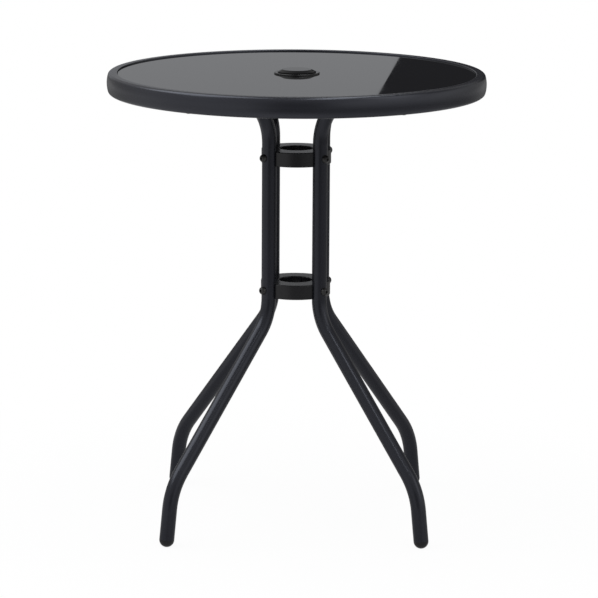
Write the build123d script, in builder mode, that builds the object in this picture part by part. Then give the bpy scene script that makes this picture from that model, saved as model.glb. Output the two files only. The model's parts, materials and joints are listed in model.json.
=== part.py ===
from build123d import *
import os
from math import atan2, cos, radians, sin, sqrt, tan

# Round cafe table with a glass top, in millimetres. The origin is on the floor under the centre
# of the top, +Z is up, and -Y is the front. Four bent tube legs are bolted round two collars.

# Rim rolled from a tube with a crowned outer face, with an inner ledge that carries the glass
table_height = 700
rim_diameter = 582
rim_height = 31.5
rim_width = 16
rim_face_radius = 45
rim_corner_radius = 5
rim_inner_round = 1
rim_wall = 1.5
ledge_width = 13
ledge_thickness = 1.5

# Glass top on rubber pads
glass_thickness = 5
glass_recess = 2
glass_edge_gap = 0.4
glass_edge_chamfer = 0.5
pad_count = 8
pad_diameter = 9
pad_thickness = 1.2

# Parasol ring pushed into the hole of the glass: its bore takes the pole, its wider mouth the cap
ring_bore = 41
ring_mouth = 44.6
ring_wall = 2.4
ring_gap = 0.3
ring_flange_diameter = 70
ring_flange_thickness = 2.2
ring_flange_round = 1
ring_sleeve_length = 24
ring_bead_height = 2.4
ring_bead_depth = 1.5

# Cap that closes the parasol ring and lifts out
cap_gap = 0.3
cap_seat_gap = 0.2
cap_end_gap = 0.8
cap_diameter = 59
cap_top_diameter = 45
cap_height = 4.2
cap_rim_thickness = 1
cap_wall = 2.2
cap_skirt_length = 12
cap_skirt_chamfer = 1

# Leg tube and its bends
tube_diameter = 22.8
tube_wall = 1.2
post_circle_radius = 55
foot_inset = 18.5
collar_turn = -3.3
shin_angle = 7.4
shoulder_radius = 81
knee_setback = 28.9
ankle_height = 87.1
ankle_radius = 100
arm_end_gap = 24

# Plastic ends of the tubes
insert_gap = 0.1
insert_length = 12
foot_flat_depth = 0.6
plug_thickness = 2.5
plug_round = 1.5

# Collars that hold the four posts apart
collar_height = 22.6
collar_diameter = 107.4
collar_bore = 51
collar_round = 1.2
lower_collar_height = 365.4
upper_collar_drop = 128.7
seat_gap = 0.05

# Dome head bolts, nuts and washers
bolt_diameter = 6
bolt_rise = 1.6
bolt_hole_gap = 0.3
thread_gap = 0.05
head_diameter = 12.4
head_height = 5.6
head_edge = 0.8
head_crown = 5.6
socket_width = 4
socket_depth = 2
collar_bolt_length = 35
bolt_tip_gap = 1
nut_width = 10
nut_thickness = 5
nut_setback = 1.2
nut_gap = 0.1
washer_diameter = 14
washer_thickness = 1.5
washer_wrap = 2

# Lugs under the ledge that take the arm bolts
lug_thickness = 3
lug_width = 26
lug_end = 12
lug_weld_gap = 0.2
lug_bolt_setback = 49

# Heights and radii that follow from the sizes above
rim_radius = rim_diameter / 2
rim_inner_radius = rim_radius - rim_width
foot_circle_radius = rim_radius - foot_inset
glass_top = table_height - glass_recess
glass_bottom = glass_top - glass_thickness
ledge_top = glass_bottom - pad_thickness
ledge_bottom = ledge_top - ledge_thickness
lug_bottom = ledge_bottom - lug_thickness
tube_radius = tube_diameter / 2
tube_bore_radius = tube_radius - tube_wall
arm_height = lug_bottom - seat_gap - tube_radius
collar_heights = {"lower": lower_collar_height, "upper": table_height - upper_collar_drop}
bolt_radius = bolt_diameter / 2
bolt_hole_radius = bolt_radius + bolt_hole_gap
collar_bolt_seat = post_circle_radius + tube_radius + seat_gap
collar_bolt_tip = collar_bolt_seat - collar_bolt_length
nut_middle = collar_bolt_tip + nut_setback + nut_thickness / 2
ring_bore_radius = ring_bore / 2
ring_mouth_radius = ring_mouth / 2
ring_sleeve_radius = ring_mouth_radius + ring_wall
glass_hole_radius = ring_sleeve_radius + ring_gap
ring_flange_top = glass_top + ring_flange_thickness
cap_bottom = ring_flange_top + cap_seat_gap
cap_skirt_radius = ring_mouth_radius - cap_gap
ring_mouth_floor = cap_bottom - cap_skirt_length - cap_end_gap

# The legs stand on the diagonals of the table
corner_angles = {"front_left": 225, "front_right": 315, "rear_right": 45, "rear_left": 135}
up = Vector(0, 0, 1)


def plan_point(radius, angle, height=0):
    return Vector(radius * cos(radians(angle)), radius * sin(radians(angle)), height)


def post_point(corner_angle, height=0):
    return plan_point(post_circle_radius, corner_angle + collar_turn, height)


def arm_direction(corner_angle):
    return (plan_point(foot_circle_radius, corner_angle) - post_point(corner_angle)).normalized()


def arm_reach(radius):
    """Distance along an arm, from its post, at which it crosses a circle round the table's centre."""
    along = post_point(0).dot(arm_direction(0))
    return sqrt(along**2 - post_circle_radius**2 + radius**2) - along


def arm_point(corner_angle, radius, height):
    return post_point(corner_angle, height) + arm_direction(corner_angle) * arm_reach(radius)


def upright_plane(origin, outward):
    """Plane whose x runs along outward, in plan, and whose y points up."""
    return Plane(origin=origin, x_dir=outward, z_dir=outward.cross(up))


def plane_along(origin, axis, across):
    """Plane for a half profile: y runs along the axis and x across it."""
    return Plane(origin=origin, x_dir=across, z_dir=across.cross(axis))


def save(piece, name):
    piece.part.label = name
    export_step(piece.part, f"parts/{name}.step")


os.makedirs("parts", exist_ok=True)

# Rim: a rolled tube with a crowned face and soft corners, and the glass ledge on its inner wall
with BuildPart() as table_rim:
    with BuildSketch(Plane.XZ) as rim_section:
        with BuildLine():
            rim_bottom = table_height - rim_height
            face_drop = rim_face_radius - sqrt(rim_face_radius**2 - (rim_height / 2) ** 2)
            face_top = (rim_radius - face_drop, table_height)
            face_middle = (rim_radius, table_height - rim_height / 2)
            face_bottom = (rim_radius - face_drop, rim_bottom)
            ThreePointArc(face_top, face_middle, face_bottom)
            Polyline(face_bottom, (rim_inner_radius, rim_bottom), (rim_inner_radius, table_height), face_top)
        make_face()
        rim_corners = rim_section.vertices().sort_by(Axis.X)
        fillet(rim_corners[2:], rim_corner_radius)
        fillet(rim_corners[:2], rim_inner_round)
        offset(amount=-rim_wall, mode=Mode.SUBTRACT)
        with Locations((rim_inner_radius - ledge_width, ledge_bottom)):
            Rectangle(ledge_width + rim_wall / 2, ledge_thickness, align=Align.MIN)
    revolve(axis=Axis.Z)
save(table_rim, "table_rim")

# Glass: a disc with chamfered edges and the parasol hole
with BuildPart() as glass_disc:
    with BuildSketch(Plane.XY.offset(glass_bottom)):
        Circle(rim_inner_radius - glass_edge_gap)
        Circle(glass_hole_radius, mode=Mode.SUBTRACT)
    extrude(amount=glass_thickness)
    chamfer(glass_disc.edges(), glass_edge_chamfer)
save(glass_disc, "glass_top")

# Pads: rubber discs between the ledge and the glass
with BuildPart() as glass_pads:
    with BuildSketch(Plane.XY.offset(ledge_top)):
        with PolarLocations(rim_inner_radius - ledge_width / 2, pad_count, start_angle=180 / pad_count):
            Circle(pad_diameter / 2)
    extrude(amount=pad_thickness)
save(glass_pads, "glass_pads")

# Parasol ring: a flange on the glass and a stepped sleeve with a snap bead under it
with BuildPart() as parasol_ring:
    with BuildSketch(Plane.XZ) as ring_section:
        with Locations((ring_bore_radius, glass_top - ring_sleeve_length)):
            Rectangle(ring_sleeve_radius - ring_bore_radius, ring_sleeve_length, align=Align.MIN)
        with Locations((ring_bore_radius, glass_top)):
            Rectangle(ring_flange_diameter / 2 - ring_bore_radius, ring_flange_thickness, align=Align.MIN)
        with Locations((ring_bore_radius, ring_mouth_floor)):
            mouth_depth = ring_flange_top - ring_mouth_floor
            Rectangle(ring_mouth_radius - ring_bore_radius, mouth_depth, align=Align.MIN, mode=Mode.SUBTRACT)
        flange_corner = ring_section.vertices().group_by(Axis.X)[-1].sort_by(Axis.Y)[-1]
        fillet(flange_corner, ring_flange_round)
        with BuildLine():
            bead_top = glass_bottom - ring_gap
            Polyline(
                (ring_sleeve_radius, bead_top),
                (ring_sleeve_radius + ring_bead_depth, bead_top),
                (ring_sleeve_radius, bead_top - ring_bead_height),
                close=True,
            )
        make_face()
    revolve(axis=Axis.Z)
save(parasol_ring, "parasol_ring")

# Parasol cap: a low cone with a flat top and a hollow skirt that drops into the ring
with BuildPart() as parasol_cap:
    with BuildSketch(Plane.XZ):
        with BuildLine():
            skirt_end = cap_bottom - cap_skirt_length
            skirt_inner_radius = cap_skirt_radius - cap_wall
            cap_top = cap_bottom + cap_height
            Polyline(
                (0, cap_top - cap_wall),
                (0, cap_top),
                (cap_top_diameter / 2, cap_top),
                (cap_diameter / 2, cap_bottom + cap_rim_thickness),
                (cap_diameter / 2, cap_bottom),
                (cap_skirt_radius, cap_bottom),
                (cap_skirt_radius, skirt_end + cap_skirt_chamfer),
                (cap_skirt_radius - cap_skirt_chamfer, skirt_end),
                (skirt_inner_radius, skirt_end),
                (skirt_inner_radius, cap_top - cap_wall),
                close=True,
            )
        make_face()
    revolve(axis=Axis.Z)
save(parasol_cap, "parasol_cap")

# Leg line, in the upright plane of a leg: foot, ankle, knee, shoulder and arm end
foot_reach = (plan_point(foot_circle_radius, 0) - post_point(0)).length
foot_rise = tube_radius - foot_flat_depth
ankle_reach = foot_reach - (ankle_height - foot_rise) * tan(radians(shin_angle))
knee_height = lower_collar_height - collar_height / 2 - knee_setback
knee_bend = atan2(ankle_reach, knee_height - ankle_height)
knee_radius = knee_setback / tan(knee_bend / 2)
arm_end_radius = rim_inner_radius - arm_end_gap
lug_bolt_radius = rim_inner_radius - lug_bolt_setback


def bent_leg(corner_angle):
    """Tube swept along the leg line, with holes for the collar bolts and the arm bolt."""
    post = post_point(corner_angle)
    with BuildPart() as leg:
        with BuildLine(upright_plane(post, arm_direction(corner_angle))) as leg_line:
            FilletPolyline(
                (foot_reach, foot_rise),
                (ankle_reach, ankle_height),
                (0, knee_height),
                (0, arm_height),
                (arm_reach(arm_end_radius), arm_height),
                radius=[ankle_radius, knee_radius, shoulder_radius],
            )
        with BuildSketch(Plane(origin=leg_line.line @ 0, z_dir=leg_line.line % 0)):
            Circle(tube_radius)
            Circle(tube_bore_radius, mode=Mode.SUBTRACT)
        sweep()
        for height in collar_heights.values():
            bolt_place = post + up * (height + bolt_rise)
            with BuildSketch(Plane(origin=bolt_place, z_dir=post.normalized())):
                Circle(bolt_hole_radius)
            extrude(amount=tube_diameter, both=True, mode=Mode.SUBTRACT)
        with BuildSketch(Plane(origin=arm_point(corner_angle, lug_bolt_radius, arm_height))):
            Circle(bolt_hole_radius)
        extrude(amount=tube_diameter, both=True, mode=Mode.SUBTRACT)
    return leg


def foot_cap(corner_angle):
    """Domed end of a leg, flush with the tube and cut flat where it stands on the floor."""
    outward = arm_direction(corner_angle)
    centre = post_point(corner_angle, foot_rise) + outward * foot_reach
    shin = up * cos(radians(shin_angle)) - outward * sin(radians(shin_angle))
    across = outward * cos(radians(shin_angle)) + up * sin(radians(shin_angle))
    with BuildPart() as cap:
        with BuildSketch(plane_along(centre, shin, across)):
            with BuildLine():
                insert_radius = tube_bore_radius - insert_gap
                CenterArc((0, 0), tube_radius, -90, 90)
                Polyline(
                    (tube_radius, 0),
                    (insert_radius, 0),
                    (insert_radius, insert_length),
                    (0, insert_length),
                    (0, -tube_radius),
                )
            make_face()
        revolve(axis=Axis(centre, shin))
        split(bisect_by=Plane.XY, keep=Keep.TOP)
    return cap


def arm_plug(corner_angle):
    """Flat plug in the open end of an arm."""
    inward = -arm_direction(corner_angle)
    end = arm_point(corner_angle, arm_end_radius, arm_height)
    with BuildPart() as plug:
        with BuildSketch(plane_along(end, inward, up)) as plug_section:
            with Locations((0, -plug_thickness)):
                Rectangle(tube_radius, plug_thickness, align=Align.MIN)
            fillet(plug_section.vertices().group_by(Axis.X)[-1].sort_by(Axis.Y)[0], plug_round)
            Rectangle(tube_bore_radius - insert_gap, insert_length, align=Align.MIN)
        revolve(axis=Axis(end, inward))
    return plug


def rim_lug(corner_angle):
    """Plate under the ledge, with the threaded hole for the arm bolt."""
    bolt_place = arm_point(corner_angle, lug_bolt_radius, lug_bottom)
    lug_plane = Plane(origin=bolt_place, x_dir=arm_direction(corner_angle), z_dir=up)
    with BuildPart() as lug:
        with BuildSketch(lug_plane):
            with Locations((-lug_end, 0)):
                Rectangle(lug_end + 2 * lug_bolt_setback, lug_width, align=(Align.MIN, Align.CENTER))
            Circle(bolt_radius + thread_gap, mode=Mode.SUBTRACT)
        extrude(amount=lug_thickness)
        with BuildSketch(Plane.XY.offset(lug_bottom)):
            Circle(rim_inner_radius - lug_weld_gap)
        extrude(amount=lug_thickness, mode=Mode.INTERSECT)
    return lug


for corner, angle in corner_angles.items():
    save(bent_leg(angle), f"leg_{corner}")
    save(foot_cap(angle), f"foot_cap_{corner}")
    save(arm_plug(angle), f"arm_plug_{corner}")
    save(rim_lug(angle), f"rim_lug_{corner}")


def collar(height):
    """Ring with a scallop for each post, and a bolt hole and nut pocket behind each scallop."""
    bottom = height - collar_height / 2
    first_post = corner_angles["rear_right"] + collar_turn
    post_count = len(corner_angles)
    with BuildPart() as ring:
        with BuildSketch(Plane.XZ) as section:
            with Locations((collar_bore / 2, bottom)):
                Rectangle((collar_diameter - collar_bore) / 2, collar_height, align=Align.MIN)
            fillet(section.vertices(), collar_round)
        revolve(axis=Axis.Z)
        with BuildSketch(Plane.XY.offset(bottom)):
            with PolarLocations(post_circle_radius, post_count, start_angle=first_post):
                Circle(tube_radius + seat_gap)
        extrude(amount=collar_height, mode=Mode.SUBTRACT)
        for angle in corner_angles.values():
            hole_start = plan_point(collar_bolt_tip - bolt_tip_gap, angle + collar_turn, height + bolt_rise)
            with BuildSketch(Plane(origin=hole_start, z_dir=post_point(angle).normalized())):
                Circle(bolt_hole_radius)
            extrude(amount=collar_bolt_length, mode=Mode.SUBTRACT)
        with BuildSketch(Plane.XY.offset(bottom)):
            with PolarLocations(nut_middle, post_count, start_angle=first_post):
                Rectangle(nut_thickness + 2 * nut_gap, nut_width + 2 * nut_gap)
        nut_corner_radius = nut_width / 2 / cos(radians(30))
        pocket_depth = collar_height / 2 + bolt_rise + nut_corner_radius + nut_gap
        extrude(amount=pocket_depth, mode=Mode.SUBTRACT)
    return ring


def dome_bolt(seat, outward, across, length):
    """Bolt whose head stands on its seat, with a domed head and a hexagon socket."""
    with BuildPart() as bolt:
        with BuildSketch(plane_along(seat, outward, across)):
            with BuildLine():
                head_radius = head_diameter / 2
                crown_radius = head_crown / 2
                Polyline((crown_radius, head_height), (0, head_height), (0, -length), (bolt_radius, -length))
                Polyline((bolt_radius, -length), (bolt_radius, 0), (head_radius, 0), (head_radius, head_edge))
                TangentArc((head_radius, head_edge), (crown_radius, head_height), tangent=(0, 1))
            make_face()
        revolve(axis=Axis(seat, outward))
        with BuildSketch(Plane(origin=seat + outward * head_height, x_dir=across, z_dir=outward)):
            RegularPolygon(socket_width / 2, 6, major_radius=False)
        extrude(amount=-socket_depth, mode=Mode.SUBTRACT)
    return bolt


def collar_nut(corner_angle, height):
    """Hexagon nut in its pocket, with two flats upright."""
    radial = post_point(corner_angle).normalized()
    inner_face = plan_point(nut_middle - nut_thickness / 2, corner_angle + collar_turn, height)
    with BuildPart() as nut:
        with BuildSketch(Plane(origin=inner_face, x_dir=up.cross(radial), z_dir=radial)):
            RegularPolygon(nut_width / 2, 6, major_radius=False, rotation=30)
            Circle(bolt_radius + thread_gap, mode=Mode.SUBTRACT)
        extrude(amount=nut_thickness)
    return nut


for level, height in collar_heights.items():
    save(collar(height), f"{level}_collar")
    bolts = []
    nuts = []
    for angle in corner_angles.values():
        radial = post_point(angle).normalized()
        bolt_seat = plan_point(collar_bolt_seat, angle + collar_turn, height + bolt_rise)
        bolts.append(dome_bolt(bolt_seat, radial, up, collar_bolt_length).part)
        nuts.append(collar_nut(angle, height + bolt_rise).part)
    with BuildPart() as collar_bolts:
        add(bolts)
    save(collar_bolts, f"{level}_collar_bolts")
    with BuildPart() as collar_nuts:
        add(nuts)
    save(collar_nuts, f"{level}_collar_nuts")


def saddle_washer(corner_angle):
    """Round washer hollowed to sit on the underside of an arm."""
    base = arm_point(corner_angle, lug_bolt_radius, arm_height - tube_radius - washer_thickness)
    axis_point = arm_point(corner_angle, lug_bolt_radius, arm_height)
    with BuildPart() as washer:
        with BuildSketch(Plane(origin=base)):
            Circle(washer_diameter / 2)
            Circle(bolt_hole_radius, mode=Mode.SUBTRACT)
        extrude(amount=washer_thickness + washer_wrap)
        with BuildSketch(Plane(origin=axis_point, z_dir=arm_direction(corner_angle))):
            Circle(tube_radius + seat_gap)
        extrude(amount=washer_diameter, both=True, mode=Mode.SUBTRACT)
    return washer


arm_bolt_seat = arm_height - tube_radius - washer_thickness
arm_bolt_length = lug_bottom + lug_thickness - arm_bolt_seat
arm_bolt_parts = []
arm_washer_parts = []
for angle in corner_angles.values():
    head_seat = arm_point(angle, lug_bolt_radius, arm_bolt_seat)
    arm_bolt_parts.append(dome_bolt(head_seat, -up, arm_direction(angle), arm_bolt_length).part)
    arm_washer_parts.append(saddle_washer(angle).part)
with BuildPart() as arm_bolts:
    add(arm_bolt_parts)
save(arm_bolts, "arm_bolts")
with BuildPart() as arm_washers:
    add(arm_washer_parts)
save(arm_washers, "arm_washers")
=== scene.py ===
# %% [markdown]
# A round cafe table in black: a glass top in a rolled steel rim, four bent tube legs, two ring
# collars and a parasol hole with a lift-out cap. The shapes could be modelled here again by eye, but
# the packed model already gives every shape and place, in metres. So this script loads it and dresses
# it: a camera, a pale studio, finishes made of shader nodes, and the small pieces that show how the
# table is put together.

# %% load the frame
import json
from math import asin, cos, degrees, pi, radians, sqrt

import bmesh
import bpy
from mathutils import Matrix, Vector


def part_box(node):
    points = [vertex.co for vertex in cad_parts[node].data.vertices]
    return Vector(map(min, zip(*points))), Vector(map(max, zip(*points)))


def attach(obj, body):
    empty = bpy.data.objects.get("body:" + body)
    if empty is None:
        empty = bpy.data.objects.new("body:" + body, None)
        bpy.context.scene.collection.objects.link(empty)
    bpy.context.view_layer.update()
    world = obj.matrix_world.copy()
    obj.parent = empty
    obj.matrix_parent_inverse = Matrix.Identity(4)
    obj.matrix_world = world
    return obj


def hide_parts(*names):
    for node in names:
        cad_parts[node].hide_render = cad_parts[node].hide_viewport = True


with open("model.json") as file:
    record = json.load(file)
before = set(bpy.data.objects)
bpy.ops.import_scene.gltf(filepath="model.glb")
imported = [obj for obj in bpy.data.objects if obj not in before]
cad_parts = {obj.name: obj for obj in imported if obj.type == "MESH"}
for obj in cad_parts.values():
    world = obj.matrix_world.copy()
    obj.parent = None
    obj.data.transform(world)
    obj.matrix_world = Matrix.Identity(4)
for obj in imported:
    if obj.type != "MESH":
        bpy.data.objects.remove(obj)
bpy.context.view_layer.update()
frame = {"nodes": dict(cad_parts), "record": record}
nodes = frame["nodes"]
scene = bpy.context.scene
scene.view_settings.view_transform = "Standard"

# %% [markdown]
# The table was photographed with a long lens from about five metres away and a little above the top.
# A camera could be moved by eye until the picture looks right, but distance and lens are easily
# mistaken for each other. So distance, height and pitch were found by fitting the rim, the posts and
# the feet to one lens, and the camera needs no shift. The picture leans by a third of a degree, and a
# small roll follows that. A long lens keeps the four legs nearly the same size.

# %% camera
picture_width = 598
focal_pixels = 3295.4
sensor_width = 36
camera_place = (0.0055, -5.0194, 1.3501)
camera_pitch = 11.3195
camera_roll = 0.35

lens = bpy.data.cameras.new("camera")
lens.sensor_width = sensor_width
lens.lens = focal_pixels / picture_width * sensor_width
camera = bpy.data.objects.new("camera", lens)
camera.location = camera_place
tilt = Matrix.Rotation(radians(90 - camera_pitch), 3, "X")
camera.rotation_euler = (tilt @ Matrix.Rotation(radians(camera_roll), 3, "Z")).to_euler()
scene.collection.objects.link(camera)
scene.camera = camera
print("lens", round(lens.lens, 1), "mm")

# %% [markdown]
# Paint, plastic and glass differ from place to place by masks, and a mask is a formula. The Math nodes
# for it could be wired one by one, but that takes many lines and hides the formula. Here a Value wraps
# one output of a node, and adding, multiplying or comparing Values adds the Math nodes. A ramp is the
# smooth step that most masks need.


# %% shader arithmetic
class Value:
    """One output socket of a node, with Python's operators as Math nodes."""

    def __init__(self, socket):
        self.socket = socket

    def tree(self):
        return Tree(self.socket.id_data)

    def math(self, operation, *values):
        return self.tree().node("ShaderNodeMath", {"operation": operation}, dict(enumerate(values)))

    def __add__(self, other):
        return self.math("ADD", self, other)

    def __sub__(self, other):
        return self.math("SUBTRACT", self, other)

    def __rsub__(self, other):
        return self.math("SUBTRACT", other, self)

    def __mul__(self, other):
        return self.math("MULTIPLY", self, other)

    def __gt__(self, other):
        return self.math("GREATER_THAN", self, other)

    def __lt__(self, other):
        return self.math("LESS_THAN", self, other)

    __radd__ = __add__
    __rmul__ = __mul__

    def __abs__(self):
        return self.math("ABSOLUTE", self)

    def larger(self, other):
        return self.math("MAXIMUM", self, other)

    def ramp(self, low, high, to_low=0, to_high=1):
        """Goes smoothly from to_low to to_high while this value goes from low to high."""
        smooth = {"interpolation_type": "SMOOTHSTEP"}
        sockets = {"Value": self, "From Min": low, "From Max": high,
                   "To Min": to_low, "To Max": to_high}
        return self.tree().node("ShaderNodeMapRange", smooth, sockets)


operators = [name.strip("_") for name, entry in vars(Value).items() if callable(entry)]
print("a Value has", ", ".join(operators))

# %% [markdown]
# A Tree is the board that the nodes are wired on. Every node comes from its one method, which sets the
# node's own settings first and then fills or links its sockets. The other methods are short names for
# the nodes that the finishes use most. They read Object coordinates, so a pattern is measured in metres
# and stays where it is when a piece is exported.


# %% node trees
class Tree:
    """A node tree that nodes are added to."""

    def __init__(self, tree):
        self.tree = tree

    def node(self, kind, settings=None, sockets=None, output=0):
        """Adds a node and gives one of its outputs, if it has any."""
        new = self.tree.nodes.new(kind)
        for name, setting in (settings or {}).items():
            setattr(new, name, setting)
        for name, value in (sockets or {}).items():
            if isinstance(value, Value):
                self.tree.links.new(value.socket, new.inputs[name])
            else:
                new.inputs[name].default_value = value
        return Value(new.outputs[output]) if new.outputs else None

    def vector(self, operation, *vectors, output="Vector"):
        """A Vector Math node, where a length or a dot product leaves at the output Value."""
        settings = {"operation": operation}
        return self.node("ShaderNodeVectorMath", settings, dict(enumerate(vectors)), output)

    def mix(self, factor, first, second):
        """A colour between two colours, which a Mix node takes at its sockets 6 and 7."""
        sockets = {0: factor, 6: first, 7: second}
        return self.node("ShaderNodeMix", {"data_type": "RGBA"}, sockets, output=2)

    def place(self):
        """Where a point of the piece is, in metres."""
        return self.node("ShaderNodeTexCoord", output="Object")

    def axes(self, vector):
        """The three numbers of a vector."""
        sockets = {"Vector": vector}
        return [self.node("ShaderNodeSeparateXYZ", sockets=sockets, output=axis) for axis in "XYZ"]

    def noise(self, size, detail=2, roughness=0.5):
        """Soft cloudy noise with features of about the given size in metres."""
        sockets = {"Vector": self.place(), "Scale": 1 / size,
                   "Detail": detail, "Roughness": roughness}
        return self.node("ShaderNodeTexNoise", sockets=sockets)

    def bump(self, height, depth, strength):
        """A normal that leans as if the height stood out by the given depth in metres."""
        sockets = {"Height": height, "Distance": depth, "Strength": strength}
        return self.node("ShaderNodeBump", sockets=sockets, output="Normal")


print("a Tree has", ", ".join(name for name in vars(Tree) if not name.startswith("_")))

# %% [markdown]
# The photograph has a plain white background. A white world would do for the camera, but black paint
# and glass mirror what stands round them, and white on all sides would turn them grey. So the Light
# Path node asks which ray it is: the camera gets white, matt surfaces get an even light, and mirrors
# get a drawn room. Its side walls are brighter than the middle, its back wall is dimmer, the right wall
# is darker low down, the ceiling darkens upwards, and a window glows high on the right.


# %% background
def seen_directly(tree):
    """Two masks: one for rays of the camera, and one for rays of mirrors and of glass."""
    path = {name: tree.node("ShaderNodeLightPath", output=f"Is {name} Ray")
            for name in ("Camera", "Glossy", "Transmission")}
    return path["Camera"], path["Glossy"].larger(path["Transmission"])


window_direction = (0.76, -0.36, 0.54)
window_glow = 0.75
matt_light = 0.75


def room(tree, direction):
    """How bright the room is in a direction, as a mirror in the middle of it would show it."""
    across, depth, height = tree.axes(direction)
    sides = abs(across).ramp(0.1, 0.6, 0.17, 0.55)
    back = depth.ramp(0, 0.8, 1, 0.45)
    low_shade = height.ramp(-0.15, 0.1, 0.5, -0.25)
    right_shade = across.ramp(0.1, 0.5) * low_shade * depth.ramp(0.4, 0.9, 1.1, 0.1)
    walls = sides * back * (1 - right_shade)
    far_right = (across + depth).ramp(0.3, 0.9, 1, 0.5)
    ceiling = height.ramp(0.75, 0.95, 0.5, 0.24) * far_right
    rise = height.ramp(0.1, 0.5)
    facing = tree.vector("DOT_PRODUCT", direction, window_direction, output="Value")
    return walls * (1 - rise) + ceiling * rise + facing.ramp(0.92, 0.98, 0, window_glow)


world = bpy.data.worlds.new("studio")
world.use_nodes = True
world.node_tree.nodes.clear()
sky = Tree(world.node_tree)
to_camera, to_mirror = seen_directly(sky)
mirrored = room(sky, sky.node("ShaderNodeTexCoord", output="Generated"))
sky_level = to_camera + to_mirror * mirrored + (1 - to_camera - to_mirror) * matt_light
background = sky.node("ShaderNodeBackground", sockets={"Color": sky_level})
sky.node("ShaderNodeOutputWorld", sockets={"Surface": background})
scene.world = world
print("world nodes", len(world.node_tree.nodes))

# %% [markdown]
# The floor is a pale sheet that runs into the background without an edge. A backdrop could curve up
# behind the table, but here the background is white already, so a large flat disc is enough. A new
# mesh starts as an empty bmesh that a function fills, and the helper for that serves every later
# piece too.


# %% floor
def link_mesh(name, mesh_maker):
    """An object at the origin whose mesh is what mesh_maker leaves in an empty bmesh."""
    shape = bmesh.new()
    mesh_maker(shape)
    mesh = bpy.data.meshes.new(name)
    shape.to_mesh(mesh)
    shape.free()
    made = bpy.data.objects.new(name, mesh)
    scene.collection.objects.link(made)
    return made


floor_radius, floor_corners = 12, 96


def floor_disc(shape):
    bmesh.ops.create_circle(shape, cap_ends=True, segments=floor_corners, radius=floor_radius)


floor = link_mesh("floor", floor_disc)
print("floor", len(floor.data.polygons), "face")

# %% [markdown]
# The floor of the photograph is white, with hardly a shadow. A matt white paint alone would show a
# strong shadow and fade to grey. So the camera sees mostly plain white, and close to the feet a small
# share of an ordinary matt paint that takes their shadow. Mirrors see the floor glow with painted
# light: painted shade near the table and towards the right, and the drawn room further out, because
# the black legs would look grey over a white floor.


# %% floor paint
def grey(level):
    return (level, level, level, 1)


def bare_material(name):
    """A material without nodes, and the tree to put them in."""
    material = bpy.data.materials.new(name)
    material.use_nodes = True
    material.node_tree.nodes.clear()
    return material, Tree(material.node_tree)


table_middle = (0, 0, 0.5)
floor_paint, paint = bare_material("pale floor")
to_camera, to_mirror = seen_directly(paint)
from_table = paint.vector("LENGTH", paint.place(), output="Value")

# painted light that mirrors see on the floor: painted shade near the table and on the right
painted_right_shade = paint.axes(paint.place())[0].ramp(0.05, 0.5, 1, 0.78)
painted_floor_shade = from_table.ramp(0.3, 1.1, 0.42, 0.66) * painted_right_shade
outwards = paint.vector("NORMALIZE", paint.vector("SUBTRACT", paint.place(), table_middle))
# further out the drawn room, with a painted lift of light beyond three metres
far_room = room(paint, outwards) + from_table.ramp(3, 6, 0, 0.12)
far = from_table.ramp(1.2, 1.9)
brightness = to_camera.larger(painted_floor_shade * (1 - far) + far_room * far)

white_share = to_camera * from_table.ramp(0.4, 0.9, 0.94, 1) + to_mirror
matt = paint.node("ShaderNodeBsdfDiffuse", sockets={"Color": grey(0.85)})
white = paint.node("ShaderNodeEmission", sockets={"Color": brightness})
mixed = paint.node("ShaderNodeMixShader", sockets={0: white_share, 1: matt, 2: white})
paint.node("ShaderNodeOutputMaterial", sockets={"Surface": mixed})
floor.data.materials.append(floor_paint)
print("floor paint", len(floor_paint.node_tree.nodes), "nodes")

# %% [markdown]
# The glass is a mirror at this low angle: most of it shows a grey screen that stands behind the table,
# and on the right a dark slanted part where the screen ends. That picture could be painted on the
# glass, but it would stay there when the camera moves. Two flat cards behind the table make it as a
# real mirror does. The camera doesn't see them, and they give no light of their own to matt surfaces.

# %% cards behind the table
card_distance = 2.0
card_bottom, card_top = 0.7, 1.35
card_reach = 1.4
edge_height, edge_at_height, edge_lean = 0.9203, 0.2185, -0.556
grey_screen = (0.368, 0.374, 0.388, 1)
dark_gap = (0.024, 0.024, 0.027, 1)


def card_edge(height):
    """Where the slanted edge between the two cards is at a height."""
    return edge_at_height + edge_lean * (height - edge_height)


def card(name, left, right, colour):
    """An upright card whose left and right ends are given as functions of height."""
    ends = ((left, card_bottom), (right, card_bottom), (right, card_top), (left, card_top))

    def corners(shape):
        places = [(end(height), card_distance, height) for end, height in ends]
        shape.faces.new([shape.verts.new(place) for place in places])

    made = link_mesh(name, corners)
    shine, glow = bare_material(name)
    lit = glow.node("ShaderNodeEmission", sockets={"Color": colour})
    glow.node("ShaderNodeOutputMaterial", sockets={"Surface": lit})
    made.data.materials.append(shine)
    made.visible_camera = made.visible_diffuse = made.visible_shadow = False
    print(name, "from", round(left(card_bottom), 3), "to", round(right(card_bottom), 3))


card("grey card", lambda height: -card_reach, card_edge, grey_screen)
card("dark card", card_edge, lambda height: card_reach, dark_gap)

# %% [markdown]
# Light comes from two soft lamps: a large square high on the left, and a narrow strip overhead, a
# little to the right and towards the front. Small lamps would leave hard points on the paint. Large
# ones give the broad, quiet highlights that satin paint shows along the tubes.

# %% lamps
lamp_tint = (0.95, 0.98, 1.0)


def lamp(name, place, target, width, length, power):
    light = bpy.data.lights.new(name, "AREA")
    light.shape = "RECTANGLE"
    light.size, light.size_y = width, length
    light.energy = power
    light.color = lamp_tint
    made = bpy.data.objects.new(name, light)
    made.location = place
    made.rotation_euler = (Vector(target) - Vector(place)).to_track_quat("-Z", "Y").to_euler()
    scene.collection.objects.link(made)
    print(name, power, "W at", place)


lamp("left lamp", (-1.65, -0.25, 2.6), (0, 0, 0.4), width=2.5, length=2.5, power=40)
lamp("top strip", (0.47, -0.45, 2.25), (0.47, -0.45, 0), width=0.5, length=2.6, power=12)

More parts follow.
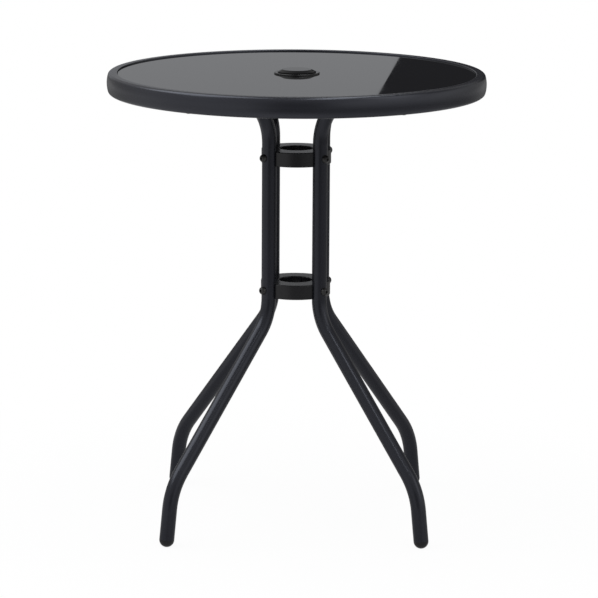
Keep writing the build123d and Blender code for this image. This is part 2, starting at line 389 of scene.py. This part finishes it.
# %% [markdown]
# The steel is powder coated: a satin black with a faint blue cast. It could be one flat colour, but
# under a lens the coat has a fine orange peel of about a millimetre and a much finer grain, and its
# gloss drifts a little from place to place. Two noises make the bump, and a large one moves colour and
# roughness. The rim has the same coat with a stronger shine.


# %% black powder coat
def finish(name, dress):
    """A material whose Principled shader gets the sockets that dress returns for its tree."""
    material, tree = bare_material(name)
    shader = tree.node("ShaderNodeBsdfPrincipled", sockets=dress(tree), output="BSDF")
    tree.node("ShaderNodeOutputMaterial", sockets={"Surface": shader})
    print(name, len(material.node_tree.nodes), "nodes")
    return material


def powder_coat(tree, shine=0.54):
    drift = tree.noise(0.09, detail=3)
    peel = tree.noise(0.0013)
    grain = tree.noise(0.0003, detail=1)
    return {
        "Base Color": tree.mix(drift, (0.0043, 0.0044, 0.0065, 1), (0.0063, 0.0064, 0.0092, 1)),
        "Roughness": 0.20 + drift * 0.08 + grain * 0.04,
        "Specular IOR Level": shine,
        "Specular Tint": (0.84, 0.87, 1, 1),
        "Normal": tree.bump(peel * 0.7 + grain * 0.3, depth=0.00002, strength=0.25),
    }


def rim_coat(tree):
    return powder_coat(tree, shine=0.72)


black_steel = finish("black powder coat", powder_coat)
rim_steel = finish("black rim coat", rim_coat)

# %% [markdown]
# The top is float glass, coated black behind. Clear glass over a black sheet could be modelled as two
# layers, but no light comes back through it, so the glass itself is black. Its face is flat and
# polished, with a breath of haze where it was wiped. A mask by radius and height finds the ground edge
# next to the rim, which is duller.

# %% black glass
glass_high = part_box("glass_top")[1]
glass_radius = glass_high.x
ground_edge, face_margin = 0.0006, 0.0001


def polished_glass(tree):
    haze = tree.noise(0.16, detail=4, roughness=0.6)
    height = tree.axes(tree.place())[2]
    from_axis = tree.vector("MULTIPLY", tree.place(), (1, 1, 0))
    radius = tree.vector("LENGTH", from_axis, output="Value")
    edge = (radius > glass_radius - ground_edge) * (height < glass_high.z - face_margin)
    return {
        "Base Color": tree.mix(edge, (0.003, 0.003, 0.0033, 1), (0.012, 0.016, 0.014, 1)),
        "Roughness": haze.ramp(0.35, 0.7, 0.015, 0.04) + edge * 0.3,
        "IOR": 1.5,
    }


black_glass = finish("black glass", polished_glass)

# %% [markdown]
# The collars, the feet, the plugs and the washers are moulded black plastic. The mould leaves a fine
# grain. It could be carved into the mesh, but it is finer than a millimetre and only the light tells
# of it, so a noise in the bump and in the roughness is enough.


# %% moulded plastic
def moulded_plastic(tree):
    drift = tree.noise(0.03, detail=3)
    grain = tree.noise(0.0007)
    return {
        "Base Color": tree.mix(drift, (0.0020, 0.0019, 0.0032, 1), (0.0032, 0.0030, 0.0048, 1)),
        "Roughness": 0.19 + drift * 0.08 + grain * 0.06,
        "Normal": tree.bump(grain, depth=0.00004, strength=0.5),
    }


black_plastic = finish("moulded black plastic", moulded_plastic)

# %% [markdown]
# The parasol ring and its cap come from smoother moulds: the ring is satin, and the cap is polished
# and very dark. Both could have a finish of their own, but they differ only in shine and roughness, so
# one function makes the two.


# %% ring and cap plastic
def cap_plastic(tree, shine=0.16, roughness=0.05):
    drift = tree.noise(0.02, detail=3)
    return {
        "Base Color": tree.mix(drift, (0.0022, 0.0022, 0.0025, 1), (0.0036, 0.0036, 0.0040, 1)),
        "Roughness": roughness + drift * 0.06,
        "Specular IOR Level": shine,
    }


def ring_plastic(tree):
    return cap_plastic(tree, shine=0.5, roughness=0.16)


glossy_cap = finish("glossy black plastic", cap_plastic)
satin_ring = finish("satin black plastic", ring_plastic)

# %% [markdown]
# Three finishes are left. The pads under the glass are matt rubber with fine specks, the bolts are
# blackened steel with an uneven coat, and the nuts are zinc plated, which dries in small cells. Flat
# colours would do at this size, but one texture each keeps them true from close by.


# %% rubber, bolts and zinc
def pad_rubber(tree):
    speck = tree.noise(0.0008, detail=3)
    return {
        "Base Color": tree.mix(speck, grey(0.012), grey(0.022)),
        "Roughness": 0.75 + speck * 0.2,
        "Normal": tree.bump(speck, depth=0.00008, strength=0.6),
    }


def blackened_steel(tree):
    drift = tree.noise(0.004, detail=3)
    return {
        "Base Color": tree.mix(drift, (0.010, 0.010, 0.011, 1), (0.020, 0.019, 0.018, 1)),
        "Roughness": 0.28 + drift * 0.14,
        "Normal": tree.bump(drift, depth=0.00003, strength=0.4),
    }


zinc_cells_per_metre = 600


def zinc_plate(tree):
    sockets = {"Vector": tree.place(), "Scale": zinc_cells_per_metre}
    cells = tree.node("ShaderNodeTexVoronoi", sockets=sockets, output="Distance")
    return {
        "Base Color": tree.mix(cells, (0.52, 0.53, 0.54, 1), (0.66, 0.66, 0.65, 1)),
        "Roughness": 0.3 + cells * 0.2,
        "Metallic": 1,
    }


pad_black = finish("pad rubber", pad_rubber)
bolt_black = finish("blackened steel", blackened_steel)
nut_zinc = finish("zinc plate", zinc_plate)

# %% [markdown]
# Every piece of the packed model names its kind of material in the record. The finishes could be set
# piece by piece, but a table from kind to finish dresses them all in one loop and misses none. The
# ring and the cap are plastic too and get their own finish by name.

# %% dress the nodes
finishes = {
    "black_steel": black_steel,
    "black_glass": black_glass,
    "black_plastic": black_plastic,
    "rubber": pad_black,
    "black_bolts": bolt_black,
    "zinc_steel": nut_zinc,
}
special_finishes = {"parasol_ring": satin_ring, "parasol_cap": glossy_cap}
slot_of = {row["node"]: row["material_slot"] for row in frame["record"]["subparts"]}
for name, piece in nodes.items():
    for place in piece.material_slots:
        place.material = special_finishes.get(name, finishes[slot_of[name]])
print("dressed", len(slot_of), "nodes with", len(finishes) + len(special_finishes), "finishes")

# %% [markdown]
# The rim is a tube with a flat back, a crowned face and soft outer corners, rolled into a ring, with
# the ledge that carries the glass inside it. The packed mesh of it is coarse for its size, and the thin
# highlight on its upper corner breaks up into dashes. So it is drawn again with the same sizes. The
# corner points could be worked out one by one, but a pen is simpler: its tip goes straight along the
# flats and is spun about the centre of each round.


# %% section pen and rim sizes
class SectionPen:
    """Draws a section in the XZ plane as a chain of edges."""

    def __init__(self, shape, x, z):
        self.shape = shape
        self.tip = shape.verts.new((x, 0, z))

    def line(self, x, z):
        end = self.shape.verts.new((x, 0, z))
        self.shape.edges.new((self.tip, end))
        self.tip = end

    def arc(self, x, z, angle, steps):
        """Turns the tip about a centre, clockwise as seen from the front."""
        last = bmesh.ops.spin(self.shape, geom=[self.tip], cent=(x, 0, z), axis=(0, 1, 0),
                              angle=radians(angle), steps=steps, use_merge=False)["geom_last"]
        self.tip = next(part for part in last if isinstance(part, bmesh.types.BMVert))


rim_low, rim_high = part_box("table_rim")
lug_low, lug_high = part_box("rim_lug_rear_right")
rim_radius, rim_width = 0.291, 0.016
rim_inner = rim_radius - rim_width
rim_middle = (rim_low.z + rim_high.z) / 2
crown_radius, corner_radius, inner_round = 0.045, 0.005, 0.001
ledge_width, ledge_thickness = 0.013, 0.0015
ledge_bottom = lug_high.z
corner_steps, crown_steps, inner_steps = 10, 14, 5
print("rim", round(rim_high.z - rim_low.z, 4), "high, ledge at", round(ledge_bottom, 4))

# %% [markdown]
# On the real table a rolling mill bends the tube into a ring and a weld closes it. Here the pen draws
# the section once, and a full spin carries it round the table in steps so small that no facet shows.
# The faces are shaded smooth, and only the edges of the ledge stay sharp.


# %% rolled rim
def rim_section(shape):
    corner_rise = rim_high.z - rim_middle - corner_radius
    crown_turn = degrees(asin(corner_rise / (crown_radius - corner_radius)))
    crown_x = rim_radius - crown_radius
    corner_x = crown_x + sqrt((crown_radius - corner_radius) ** 2 - corner_rise ** 2)
    back_x = rim_inner + inner_round
    pen = SectionPen(shape, back_x, rim_high.z)
    pen.line(corner_x, rim_high.z)
    pen.arc(corner_x, rim_middle + corner_rise, 90 - crown_turn, corner_steps)
    pen.arc(crown_x, rim_middle, 2 * crown_turn, crown_steps)
    pen.arc(corner_x, rim_middle - corner_rise, 90 - crown_turn, corner_steps)
    pen.line(back_x, rim_low.z)
    pen.arc(back_x, rim_low.z + inner_round, 90, inner_steps)
    pen.line(rim_inner, ledge_bottom)
    pen.line(rim_inner - ledge_width, ledge_bottom)
    pen.line(rim_inner - ledge_width, ledge_bottom + ledge_thickness)
    pen.line(rim_inner, ledge_bottom + ledge_thickness)
    pen.line(rim_inner, rim_high.z - inner_round)
    pen.arc(back_x, rim_high.z - inner_round, 90, inner_steps)


ring_steps = 360
merge_distance = 1e-6
sharp_angle = radians(30)


def rim_ring(shape):
    rim_section(shape)
    bmesh.ops.remove_doubles(shape, verts=shape.verts, dist=merge_distance)
    bmesh.ops.spin(shape, geom=shape.verts[:] + shape.edges[:], cent=(0, 0, 0), axis=(0, 0, 1),
                   angle=2 * pi, steps=ring_steps, use_merge=True)
    bmesh.ops.remove_doubles(shape, verts=shape.verts, dist=merge_distance)
    bmesh.ops.recalc_face_normals(shape, faces=shape.faces)
    for face in shape.faces:
        face.smooth = True
    for edge in shape.edges:
        edge.smooth = edge.calc_face_angle(0) < sharp_angle


rolled_rim = link_mesh("rolled_rim", rim_ring)
rolled_rim.data.materials.append(rim_steel)
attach(rolled_rim, "table")
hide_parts("table_rim")
print("rolled rim", len(rolled_rim.data.polygons), "faces")

# %% [markdown]
# The ledge is stitched to the rim with short welds, and each lug is welded at its end and along both
# sides. A bead could be a plain half round, but a welder lays it down drop by drop. So it starts as a
# thin cylinder that is cut into rings: the rings swell and shrink like the drops, and both ends run
# out. Each bead is made in a bmesh of its own, so that the swelling touches no other bead.

# %% weld bead
bead_thickness = 0.0028
bead_sides = 12
drop_length = 0.0016
drop_rings = 4
drop_swell = 0.1
end_share = 0.4


def weld_bead(shape, length, place):
    """Adds a bead along X whose ends thin out to end_share, moved to its place by a matrix."""
    bead = bmesh.new()
    half = bead_thickness / 2
    bmesh.ops.create_cone(bead, cap_ends=True, segments=bead_sides,
                          radius1=half, radius2=half, depth=length)
    runs = [edge for edge in bead.edges if edge.calc_length() > length / 2]
    cuts = drop_rings * round(length / drop_length) - 1
    bmesh.ops.subdivide_edges(bead, edges=runs, cuts=cuts)
    for corner in bead.verts:
        to_end = length / 2 - abs(corner.co.z)
        swell = 1 + drop_swell * cos(2 * pi * corner.co.z / drop_length)
        corner.co.xy = corner.co.xy * swell * min(1, end_share + to_end / bead_thickness)
    bmesh.ops.transform(bead, matrix=place @ Matrix.Rotation(pi / 2, 4, "Y"), verts=bead.verts)
    laid = bpy.data.meshes.new("bead")
    bead.to_mesh(laid)
    bead.free()
    shape.from_mesh(laid)
    bpy.data.meshes.remove(laid)


print("bead", bead_thickness, "thick with drops of", drop_length)

# %% [markdown]
# The beads lie in the corners that they close: under the ledge along the rim, and beside and behind
# each lug. They could be placed one by one, but the table repeats itself four times. So the beads of
# one quarter are set, each by a matrix that turns it to its angle, and a spin copies that quarter.

# %% welds of the lugs and the ledge
quarters = 4
lug_angle, lug_turn, lug_half_width = 45, 0.83, 0.013
lug_side_length = 0.0115
stitch_angles, stitch_length = (-22.5, 0, 22.5), 0.02
weld_inset = 0.0003
weld_radius = rim_inner - weld_inset
ledge_middle = rim_inner - ledge_width / 2


def turned(angle):
    return Matrix.Rotation(radians(angle), 4, "Z")


def round_the_table(shape, count):
    """Repeats everything in the bmesh evenly round the table's axis."""
    everything = shape.verts[:] + shape.edges[:] + shape.faces[:]
    bmesh.ops.spin(shape, geom=everything, cent=(0, 0, 0), axis=(0, 0, 1),
                   angle=2 * pi * (count - 1) / count, steps=count - 1, use_duplicate=True)
    for face in shape.faces:
        face.smooth = len(face.verts) == 4


def lug_welds(shape):
    end = Matrix.Translation((weld_radius, 0, lug_low.z))
    weld_bead(shape, 2 * lug_half_width, turned(lug_angle) @ end @ turned(90))
    for side in (-lug_half_width, lug_half_width):
        beside = Matrix.Translation((ledge_middle, side, ledge_bottom - weld_inset))
        weld_bead(shape, lug_side_length, turned(lug_angle) @ beside @ turned(lug_turn))
    round_the_table(shape, quarters)


def ledge_welds(shape):
    under = Matrix.Translation((weld_radius, 0, ledge_bottom - weld_inset))
    for angle in stitch_angles:
        weld_bead(shape, stitch_length, turned(angle) @ under @ turned(90))
    round_the_table(shape, quarters)


for name, maker in (("lug_welds", lug_welds), ("ledge_welds", ledge_welds)):
    welds = link_mesh(name, maker)
    welds.data.materials.append(black_steel)
    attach(welds, "table")
    print(name, len(welds.data.polygons), "faces")

# %% [markdown]
# Dressing the table must not change its size. The last line prints the number of packed nodes.

# %% count the packed nodes
print("boxes of", len(nodes), "packed nodes and of the dressed table")
